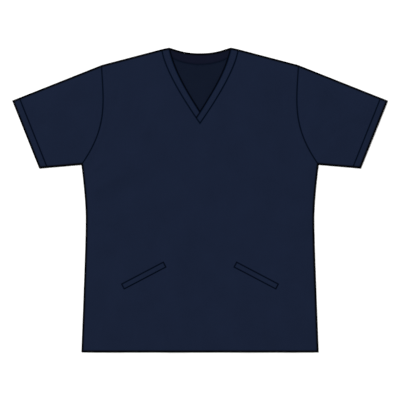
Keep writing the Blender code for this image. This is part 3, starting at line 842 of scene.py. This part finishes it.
def make_welt(side, sizes, materials):
    """Folded welt that lies on the front, its inner end higher than its outer one."""
    middle, inward, upward = welt_frame(side)
    lengths = (crowded(WELT_LENGTH, WELT_ROWS) - 0.5) * WELT_LENGTH
    widths = (crowded(WELT_WIDTH, WELT_COLUMNS, steps=WELT_STEPS) - 0.5) * WELT_WIDTH
    place = np.array([(forward, across) for forward in lengths for across in widths])
    plan = middle + place[:, :1] * inward + place[:, 1:] * upward
    ends = WELT_LENGTH / 2 - np.abs(place[:, 0])
    sides = WELT_WIDTH / 2 - np.abs(place[:, 1])
    base = front_under(plan, sizes)
    over = (base + SOLID_GAP + SOLID_WELT
            + WELT_CROWN * waves(place[:, 0], WELT_CROWN_PITCH, 1.0 + side)
            - roll(sides, WELT_ROUND, WELT_SIDE_FALL) - roll(ends, WELT_ROUND, WELT_END_FALL)
            - WELT_STITCH_DENT * groove(ends - WELT_END_STITCH, WELT_DENT_WIDTH))
    shade = WELT_SHADE * np.maximum(
        stripe(np.minimum(ends, sides), WELT_LINE),
        WELT_STITCH_SHADE * groove(ends - WELT_END_STITCH, WELT_STITCH_LINE))
    cells = [cell[::-side] for cell in strip_cells(len(lengths), len(widths))]
    piece = wall(f"pocket_welt_{SIDES[side]}_cloth", plan, cells, base - WELT_SUNK,
                 np.maximum(over, base + WELT_LEAST),
                 np.column_stack((shade, np.full(len(shade), CLEAR))), materials, place[:, ::-1])
    dress(piece, f"pocket_welt_{SIDES[side]}", "cloth", ["front_panel"],
          flat=(WELT_LENGTH, WELT_WIDTH))


# --- Stitching ---

class Stitches:
    """Stitches that are gathered into one mesh."""

    def __init__(self):
        self.points, self.faces, self.grain = [], [], []

    def add(self, start, end, radius):
        """One stitch of thread from one point to another."""
        start, end = Vector(start), Vector(end)
        forward = (end - start) / 2
        aside = forward.cross(Vector((0, 0, 1))).normalized() * radius
        upward = aside.cross(forward).normalized() * radius
        middle, rings = (start + end) / 2, []
        for share, width in STITCH_RINGS:
            rings.append(range(len(self.points), len(self.points) + STITCH_SIDES))
            for i in range(STITCH_SIDES):
                angle = 2 * math.pi * i / STITCH_SIDES
                out = width * (aside * math.cos(angle) + upward * math.sin(angle))
                self.points.append(tuple(middle + forward * share + out))
                self.grain.append((share * forward.length, i / STITCH_SIDES))
        for pair in zip(rings, rings[1:]):
            self.faces += ring_faces(*pair)
        self.faces += [tuple(rings[0])[::-1], tuple(rings[-1])]

    def row(self, plan, height, sizes):
        """Stitches along a line, lying at the heights that a function gives."""
        count = max(1, round(length_of(plan) / sizes.stitch))
        middles = (np.arange(count) + 0.5) / count
        half = STITCH_COVER / count / 2
        starts, ends = along(plan, middles - half), along(plan, middles + half)
        for start, end, low, high in zip(starts, ends, height(starts), height(ends)):
            self.add((*start, low), (*end, high), sizes.thread / 2)

    def object(self, name, material):
        """The gathered stitches as one object that rides on the garment."""
        piece = cloth_object(name, self.points, self.faces, [0] * len(self.faces), self.grain,
                             [(0.0, CLEAR)] * len(self.points), [material])
        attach(piece, "root")


def make_hem_stitches(side, sizes, material):
    """Row of stitches round a sleeve's turned-up hem, on its upper side and underneath."""
    line = along(beside_hem(sizes.sleeve_hem_turn - HEM_STITCH_INSIDE), HEM_STITCHES_REACH)
    sunk = STITCH_SUNK * sizes.thread / 2
    stitches = Stitches()
    for layer, below in ((0, sunk), (1, -sunk)):
        def height(plan):
            return sleeve_faces(plan * (side, 1.0), side, sizes)[layer] - below
        stitches.row(line * (side, 1.0), height, sizes)
    stitches.object(f"sleeve_{SIDES[side]}_hem_stitches", material)


def make_welt_stitches(side, sizes, material):
    """Close stitches across each end of a welt."""
    middle, inward, upward = welt_frame(side)
    half = upward * (WELT_WIDTH / 2 - WELT_STITCH_MARGIN)
    stitches = Stitches()

    def height(plan):
        return front_under(plan, sizes) + SOLID_GAP + SOLID_WELT - WELT_STITCH_DENT
    for end in (-1, 1):
        place = middle + inward * end * (WELT_LENGTH / 2 - WELT_END_STITCH)
        stitches.row(np.array((place - half, place + half)), height, sizes)
    stitches.object(f"pocket_welt_{SIDES[side]}_stitches", material)


# --- Materials ---

THREAD_WANDER = 1.5             # of a thread from its straight place, in threads, and over what run
THREAD_WANDER_RUN = 6 * MM
THREAD_CROWN = 0.4              # how flat a thread is across: 1 is sharp, 0 is square
CLOUDS_PER_METRE, CLOUD_DETAIL, DYE_ROUGHNESS = 14.0, 3.0, 0.55
THREADS_PER_METRE = 900.0       # that are thicker or paler than the rest, and how long they are
THREAD_STRETCH, THREAD_DETAIL = 0.03, 1.0
WEAVE_UNEVENNESS = 0.22
# how dark the painted shade in a seam goes at most
SEAM_SHADE_DEPTH = 0.985
SHADE_POWERS = (1.55, 0.90, 0.66)       # of the red, green and blue of a shade
THREAD_GAP_SHADE = (0.5, 0.72)   # painted shade between threads: brightness that a thread's height adds, and that of the darker gaps
THREAD_ROUGHNESS = (-0.12, 0.92)
FUZZ_PER_METRE, FUZZ_DETAIL, FUZZ_HEIGHT = 2600.0, 2.0, 0.35
WEAVE_BUMP = 0.6
FOLD_DEGREE = 4                 # of the polynomial that stands for the neck's fold
CLOTH_SHADER = {"Specular IOR Level": 0.02, "Sheen Weight": 0.02, "Sheen Roughness": 0.5}
THREAD_TWIST = 0.5 * MM
TWIST_HOLLOW_SHADE = (0.4, 0.75)        # painted shade in the twist: brightness that the twist adds, and that of its darker hollows
TWIST_BUMP = (0.5, 0.1 * MM)    # strength and depth
THREAD_SHADER = {"Roughness": 0.55, "Specular IOR Level": 0.08}


class Tree:
    """Short way to write a shader node tree."""

    def __init__(self, tree):
        self.tree = tree

    def feed(self, node, inputs):
        """Gives a node its inputs, by name or number, as values or as sockets to link."""
        for key, value in inputs.items():
            if isinstance(value, bpy.types.NodeSocket):
                self.tree.links.new(value, node.inputs[key])
            else:
                node.inputs[key].default_value = value

    def node(self, kind, inputs=(), **settings):
        """Adds a shader node of a kind."""
        made = self.tree.nodes.new("ShaderNode" + kind)
        for setting, value in settings.items():
            setattr(made, setting, value)
        self.feed(made, dict(inputs))
        return made

    def math(self, operation, *values):
        """Result of a math node."""
        return self.node("Math", enumerate(values), operation=operation).outputs[0]

    def vector(self, operation, *values):
        """Result of a vector math node."""
        return self.node("VectorMath", enumerate(values), operation=operation).outputs[0]

    def scaled(self, vector, scale):
        """A vector or colour times a number."""
        return self.node("VectorMath", {0: vector, "Scale": scale}, operation="SCALE").outputs[0]

    def axes(self, vector):
        """Sockets of a vector's x, y and z."""
        return self.node("SeparateXYZ", {0: vector}).outputs

    def noise(self, place, scale, output="Fac", **settings):
        """Noise at a place."""
        return self.node("TexNoise", {"Vector": place, "Scale": scale, **settings}).outputs[output]

    def bump(self, height, strength, depth):
        """Normal of a surface with a height."""
        return self.node("Bump", {"Strength": strength, "Distance": depth,
                                  "Height": height}).outputs[0]

    def grain(self):
        """Place in the weave."""
        return self.node("UVMap", uv_map=GRAIN_MAP).outputs[0]


def group(name, inputs, outputs):
    """Empty node group with its sockets, as its tree, its given sockets and its output node."""
    made = bpy.data.node_groups.new(name, "ShaderNodeTree")
    for way, sockets in (("INPUT", inputs), ("OUTPUT", outputs)):
        for socket, kind in sockets.items():
            made.interface.new_socket(socket, in_out=way, socket_type="NodeSocket" + kind)
    given, result = (made.nodes.new("NodeGroup" + end) for end in ("Input", "Output"))
    return Tree(made), given.outputs, result


def weave_group(name):
    """Plain weave: threads that go over and under each other, none of them quite straight."""
    tree, given, result = group(name, {"Grain": "Vector", "Pitch": "Float"}, {"Height": "Float"})
    place = tree.scaled(given["Grain"], tree.math("DIVIDE", math.pi, given["Pitch"]))
    wander = tree.noise(given["Grain"], 1 / THREAD_WANDER_RUN, "Color")
    axes = tree.axes(tree.vector("MULTIPLY_ADD", wander, (math.pi * THREAD_WANDER,) * 3, place))
    warp, weft = (tree.math("SINE", axes[i]) for i in (0, 1))
    over = tree.math("GREATER_THAN", tree.math("MULTIPLY", warp, weft), 0.0)
    warp, weft = tree.math("ABSOLUTE", warp), tree.math("ABSOLUTE", weft)
    up = tree.math("MULTIPLY", warp, tree.math("POWER", weft, THREAD_CROWN))
    flat = tree.math("MULTIPLY", weft, tree.math("POWER", warp, THREAD_CROWN))
    tree.feed(result, {"Height": tree.node("Mix", {0: over, 2: flat, 3: up}).outputs[0]})
    return tree.tree


def unevenness_group(name):
    """Dyed cloth's cloudiness, and single threads that are thicker or paler than the rest."""
    tree, given, result = group(name, {"Grain": "Vector", "Strength": "Float"}, {"Tone": "Float"})

    def noise(stretch, scale, detail):
        return tree.noise(tree.vector("MULTIPLY", given["Grain"], stretch), scale,
                          Detail=detail, Roughness=DYE_ROUGHNESS)
    clouds = noise((1, 1, 1), CLOUDS_PER_METRE, CLOUD_DETAIL)
    threads = tree.math("ADD", *(noise(stretch, THREADS_PER_METRE, THREAD_DETAIL) for stretch in (
        (1, THREAD_STRETCH, 1), (THREAD_STRETCH, 1, 1))))
    mixed = tree.math("SUBTRACT", tree.math("MULTIPLY_ADD", threads, 0.5, clouds), 1.0)
    tree.feed(result, {"Tone": tree.math("MULTIPLY_ADD", mixed, given["Strength"], 1.0)})
    return tree.tree


def seam_shade_group(name):
    """Shade in the ditch of a seam, where the dye's own hue goes last, so that a light shade is
    deep navy and a full one black, and plain dark shade along a turned edge."""
    tree, given, result = group(name, {"Seam": "Float", "Depth": "Float", "Edge": "Float"},
                                {"Light": "Vector"})
    light = tree.math("SUBTRACT", 1.0, tree.math("MULTIPLY", given["Seam"], given["Depth"]))
    channels = {i: tree.math("POWER", light, power) for i, power in enumerate(SHADE_POWERS)}
    hued = tree.node("CombineXYZ", channels).outputs[0]
    tree.feed(result, {"Light": tree.scaled(hued, tree.math("SUBTRACT", 1.0, given["Edge"]))})
    return tree.tree


def effect(tree, name, builder, inputs):
    """Outputs of an effect's group, which is built the first time that it is used."""
    made = bpy.data.node_groups.get(name) or builder(name)
    return tree.node("Group", inputs, node_tree=made).outputs


def plan_place(tree):
    """Sockets with the half width and the height on the garment of each place on it."""
    axes = tree.axes(tree.node("TexCoord").outputs["Object"])
    return tree.math("ABSOLUTE", axes[0]), axes[1]


def stripe_mask(tree, away, width, shade):
    """What stripe gives times a shade, as nodes."""
    share = tree.math("ABSOLUTE", tree.math("DIVIDE", away, width))
    power = tree.math("POWER", share, STRIPE_POWER)
    mask = tree.math("EXPONENT", tree.math("MULTIPLY", power, -1.0))
    return tree.math("MULTIPLY", mask, shade)


def beside_welts(tree):
    """Shade on the front's cloth at the edge of either welt."""
    middle, inward, upward = welt_frame(1)
    place = tree.node("CombineXYZ", enumerate(plan_place(tree))).outputs[0]
    away = tree.vector("SUBTRACT", place, (*middle, 0.0))

    def beyond(direction, size):
        reach = tree.node("VectorMath", {0: away, 1: (*direction, 0.0)},
                          operation="DOT_PRODUCT").outputs["Value"]
        return tree.math("SUBTRACT", tree.math("ABSOLUTE", reach), size / 2)
    outside = tree.math("MAXIMUM", beyond(inward, WELT_LENGTH), beyond(upward, WELT_WIDTH))
    return stripe_mask(tree, outside, WELT_LINE, WELT_SHADE)


def under_neck_fold(tree):
    """Shade on the back's cloth below the fold of the front neckbands."""
    foot, run = NECK_FOLD[0], NECK_FOLD[-1] - NECK_FOLD[0]
    half_width, height = plan_place(tree)
    up = tree.math("SUBTRACT", height, foot[1])
    fold = 0.0
    for factor in np.polyfit(NECK_FOLD[:, 1] - foot[1], NECK_FOLD[:, 0], FOLD_DEGREE):
        fold = tree.math("MULTIPLY_ADD", fold, up, factor)
    aside = tree.math("MULTIPLY", tree.math("SUBTRACT", half_width, fold),
                      run[1] / np.linalg.norm(run))
    return stripe_mask(tree, aside, UNDER_FOLD_LINE, UNDER_FOLD_SHADE)


def new_material(name):
    """Material with its tree and its Principled shader."""
    material = bpy.data.materials.new(name)
    material.use_nodes = True
    return material, Tree(material.node_tree), material.node_tree.nodes["Principled BSDF"]


def cloth_material(name, colour, sizes, shaded_by=None):
    """Matte poplin: weave, thick threads, cloudy dye and shade in the seams. shaded_by adds the
    shade of what lies on the cloth."""
    if name in bpy.data.materials:
        return bpy.data.materials[name]
    material, tree, shader = new_material(name)
    grain = tree.grain()
    seam, edge = (tree.node("Attribute", attribute_name=mask).outputs["Fac"]
                  for mask in (SEAM_MASK, EDGE_AWAY))
    if shaded_by:
        seam = tree.math("MAXIMUM", seam, shaded_by(tree))
    weave = effect(tree, "Plain Weave", weave_group,
                   {"Grain": grain, "Pitch": sizes.weave_pitch})["Height"]
    tone = effect(tree, "Cloth Unevenness", unevenness_group,
                  {"Grain": grain, "Strength": WEAVE_UNEVENNESS})["Tone"]
    light = effect(tree, "Seam Shade", seam_shade_group,
                   {"Seam": seam, "Depth": SEAM_SHADE_DEPTH,
                    "Edge": stripe_mask(tree, edge, EDGE_LINE, 1.0)})["Light"]
    # Painted shade of the weave: the gaps between threads are darker and the threads' tops lighter
    tone = tree.math("MULTIPLY", tone, tree.math("MULTIPLY_ADD", weave, *THREAD_GAP_SHADE))
    fuzz = tree.noise(grain, FUZZ_PER_METRE, Detail=FUZZ_DETAIL)
    height = tree.math("MULTIPLY_ADD", fuzz, FUZZ_HEIGHT, weave)
    tree.feed(shader, {
        "Base Color": tree.scaled(tree.vector("MULTIPLY", light, tuple(colour)), tone),
        "Roughness": tree.math("MULTIPLY_ADD", weave, *THREAD_ROUGHNESS),
        "Normal": tree.bump(height, WEAVE_BUMP, sizes.weave_depth), **CLOTH_SHADER})
    return material


def thread_material(name, colour):
    """Sewing thread with its twist."""
    if name in bpy.data.materials:
        return bpy.data.materials[name]
    material, tree, shader = new_material(name)
    axes = tree.axes(tree.grain())
    turn = tree.math("ADD", tree.math("DIVIDE", axes[0], THREAD_TWIST), axes[1])
    turn = tree.math("SINE", tree.math("MULTIPLY", turn, 2 * math.pi))
    twist = tree.math("MULTIPLY_ADD", turn, 0.5, 0.5)
    # Painted shade of the twist: its hollows are darker and its crests lighter
    tone = tree.math("MULTIPLY_ADD", twist, *TWIST_HOLLOW_SHADE)
    tree.feed(shader, {"Base Color": tree.scaled(tuple(colour), tone),
                       "Normal": tree.bump(twist, *TWIST_BUMP), **THREAD_SHADER})
    return material


# --- Stage ---

VIEW_WIDTH = 0.9588             # of the surface, across the picture
LENS, SENSOR = 100.0, 36.0
FLOOR_HALF = 20.0
FLOOR_BELOW = 0.2 * MM
FLOOR_SHADER = {"Roughness": 0.9, "Specular IOR Level": 0.1}
LIGHT_PLACE = (-6.1, 5.5, 14.2)
LIGHT_SIZE = 8.5


def make_stage(colours):
    """Pale floor, soft light from the upper left, a white room and the camera straight above."""
    scene, link = bpy.context.scene, bpy.context.collection.objects.link
    mesh = bpy.data.meshes.new("floor")
    mesh.from_pydata([(x * FLOOR_HALF, y * FLOOR_HALF, 0)
                      for x, y in ((-1, -1), (1, -1), (1, 1), (-1, 1))], [], [(0, 1, 2, 3)])
    floor = bpy.data.objects.new("floor", mesh)
    floor.location.z = -FLOOR_BELOW
    material, tree, shader = new_material("Pale Floor")
    tree.feed(shader, {"Base Color": (*colours.floor, 1.0), **FLOOR_SHADER})
    mesh.materials.append(material)
    link(floor)

    light = bpy.data.lights.new("soft_light", "AREA")
    light.shape, light.size, light.energy = "SQUARE", LIGHT_SIZE, colours.light
    lamp = bpy.data.objects.new("soft_light", light)
    lamp.location = LIGHT_PLACE
    lamp.rotation_euler = Vector(LIGHT_PLACE).to_track_quat("Z", "Y").to_euler()
    link(lamp)

    scene.world = bpy.data.worlds.new("white_room")
    scene.world.use_nodes = True
    room = scene.world.node_tree.nodes["Background"].inputs
    room["Color"].default_value = (1.0, 1.0, 1.0, 1.0)
    room["Strength"].default_value = colours.room
    scene.view_settings.view_transform = "Standard"

    camera_data = bpy.data.cameras.new("camera")
    camera_data.lens, camera_data.sensor_width = LENS, SENSOR
    camera = bpy.data.objects.new("camera", camera_data)
    camera.location = (0.0, 0.0, VIEW_WIDTH * LENS / SENSOR)
    link(camera)
    scene.camera = camera


# --- Add-on ---

def length_setting(name, description, millimetres):
    """Setting for a length."""
    return FloatProperty(name=name, description=description, default=millimetres * MM,
                         unit="LENGTH", precision=5)


def colour_setting(name, description, *default):
    """Setting for a colour."""
    return FloatVectorProperty(name=name, description=description, default=default,
                               subtype="COLOR", min=0.0, max=1.0)


class ScrubTopSizes(bpy.types.PropertyGroup):
    """Sizes of the cloth, its sewing and its creases."""

    cloth: length_setting("Cloth", "Thickness of a single cloth", 0.7)
    band: length_setting("Neckband", "Thickness of the folded neckband", 1.2)
    weave_pitch: length_setting("Weave pitch", "From one thread to the next", 0.32)
    weave_depth: length_setting("Weave depth", "Depth between the threads", 0.048)
    sleeve_hem_turn: length_setting("Sleeve hem", "Depth of the turned-up sleeve hem", 20)
    hem_turn: length_setting("Body hem", "Depth of the turned-up body hem", 25)
    seam_allowance: length_setting("Seam allowance", "Cloth turned in at the armhole", 10)
    allowance_height: length_setting("Allowance height",
                                     "How far turned-in cloth lifts the cloth over it", 0.4)
    stitch: length_setting("Stitch", "Length of a stitch", 2.8)
    thread: length_setting("Thread", "Thickness of the sewing thread", 0.42)
    pucker_height: length_setting("Pucker height", "Height of the waves at a seam", 0.28)
    pucker_pitch: length_setting("Pucker pitch", "From one wave to the next", 12)
    pucker_reach: length_setting("Pucker reach", "How far the waves run from a seam", 11)
    creases: FloatProperty(name="Creases", description="Strength of the small creases",
                           default=1.8, subtype="FACTOR", min=0.0, max=3.0)


class ScrubTopColours(bpy.types.PropertyGroup):
    """Colours of the cloth and thread, and the light of the studio."""

    cloth: colour_setting("Cloth", "Outer side of the cloth", 0.0068, 0.0113, 0.0275)
    # inside and band_inside are darker than cloth: partly the duller wrong side of the cloth, and
    # partly painted shade for the inside of the garment seen through the neck
    inside: colour_setting("Inside", "Inner side of the cloth", 0.0039, 0.0067, 0.0161)
    band_inside: colour_setting("Neckband inside", "Inner side of the neckband at the back",
                                0.0040, 0.0053, 0.0139)
    thread: colour_setting("Thread", "Sewing thread", 0.0020, 0.0032, 0.0075)
    floor: colour_setting("Floor", "Pale floor", 0.90, 0.90, 0.90)
    light: FloatProperty(name="Light", description="Power of the soft light",
                         default=2800.0, unit="POWER")
    room: FloatProperty(name="Room", description="Brightness of the white room",
                        default=0.52, min=0.0)


def poplin(context, shade_variant="", colour="cloth", shaded_by=None):
    """Material of the cloth, or a copy of it whose painted shade its name tells."""
    scene = context.scene
    return cloth_material(f"Navy Poplin {shade_variant}".strip(), getattr(scene.scrub_top_colours, colour),
                          scene.scrub_top_sizes, shaded_by)


def cloths(context):
    """Materials of the outer and inner side of the cloth; the inner one is darker, partly for the
    cloth's duller wrong side and partly as painted shade inside the garment.
    """
    return poplin(context), poplin(context, "Inside", "inside")


class SCRUBTOP_OT_stage(bpy.types.Operator):
    """Make the floor, the light and the camera"""

    bl_idname = "scrub_top.stage"
    bl_label = "Stage"

    def execute(self, context):
        make_stage(context.scene.scrub_top_colours)
        return {"FINISHED"}


class SCRUBTOP_OT_back(bpy.types.Operator):
    """Make the back panel"""

    bl_idname = "scrub_top.back"
    bl_label = "Back"

    def execute(self, context):
        # The back's inner face, seen through the neck, has the darker inner colour and a painted
        # shadow below the neck's fold
        inner = poplin(context, "Behind Neck", "inside", under_neck_fold)
        make_back(context.scene.scrub_top_sizes, (poplin(context), inner))
        return {"FINISHED"}


class SCRUBTOP_OT_front(bpy.types.Operator):
    """Make the front panel"""

    bl_idname = "scrub_top.front"
    bl_label = "Front"

    def execute(self, context):
        outer = poplin(context, "Under Welts", shaded_by=beside_welts)
        make_front(context.scene.scrub_top_sizes, (outer, cloths(context)[1]))
        return {"FINISHED"}


class SCRUBTOP_OT_sleeves(bpy.types.Operator):
    """Make both sleeves"""

    bl_idname = "scrub_top.sleeves"
    bl_label = "Sleeves"

    def execute(self, context):
        for side in SIDES:
            make_sleeve(side, context.scene.scrub_top_sizes, cloths(context))
        return {"FINISHED"}


class SCRUBTOP_OT_neckbands(bpy.types.Operator):
    """Make the neckbands of the front and the back"""

    bl_idname = "scrub_top.neckbands"
    bl_label = "Neckbands"

    def execute(self, context):
        sizes = context.scene.scrub_top_sizes
        make_front_bands(sizes, cloths(context))
        # The back band's inner face has its own darker colour, partly painted shade, and a painted
        # shadow below the neck's fold
        inner = poplin(context, "Neckband Inside", "band_inside", under_neck_fold)
        make_back_band(sizes, (inner, poplin(context)))
        return {"FINISHED"}


class SCRUBTOP_OT_welts(bpy.types.Operator):
    """Make the welts of the two pockets"""

    bl_idname = "scrub_top.welts"
    bl_label = "Pocket welts"

    def execute(self, context):
        for side in SIDES:
            make_welt(side, context.scene.scrub_top_sizes, cloths(context))
        return {"FINISHED"}


class SCRUBTOP_OT_stitching(bpy.types.Operator):
    """Sew the hems of the sleeves and the ends of the welts"""

    bl_idname = "scrub_top.stitching"
    bl_label = "Stitching"

    def execute(self, context):
        sizes = context.scene.scrub_top_sizes
        thread = thread_material("Sewing Thread", context.scene.scrub_top_colours.thread)
        for side in SIDES:
            make_hem_stitches(side, sizes, thread)
            make_welt_stitches(side, sizes, thread)
        return {"FINISHED"}


STEPS = (SCRUBTOP_OT_stage, SCRUBTOP_OT_back, SCRUBTOP_OT_front, SCRUBTOP_OT_sleeves,
         SCRUBTOP_OT_neckbands, SCRUBTOP_OT_welts, SCRUBTOP_OT_stitching)


class SCRUBTOP_PT_panel(bpy.types.Panel):
    """Sizes, colours and steps of the scrub top"""

    bl_idname = "SCRUBTOP_PT_panel"
    bl_label = "Scrub Top"
    bl_space_type = "VIEW_3D"
    bl_region_type = "UI"
    bl_category = "Scrub Top"

    def draw(self, context):
        for settings in (context.scene.scrub_top_sizes, context.scene.scrub_top_colours):
            box = self.layout.box()
            for name in settings.__annotations__:
                box.prop(settings, name)
        for step in STEPS:
            self.layout.operator(step.bl_idname)


CLASSES = (ScrubTopSizes, ScrubTopColours, *STEPS, SCRUBTOP_PT_panel)


def register():
    for cls in CLASSES:
        bpy.utils.register_class(cls)
    bpy.types.Scene.scrub_top_sizes = PointerProperty(type=ScrubTopSizes)
    bpy.types.Scene.scrub_top_colours = PointerProperty(type=ScrubTopColours)


def unregister():
    del bpy.types.Scene.scrub_top_colours
    del bpy.types.Scene.scrub_top_sizes
    for cls in reversed(CLASSES):
        bpy.utils.unregister_class(cls)


def main():
    """Makes the whole garment on its stage."""
    register()
    for step in STEPS:
        getattr(bpy.ops.scrub_top, step.bl_idname.split(".")[1])()


if __name__ == "__main__":
    main()
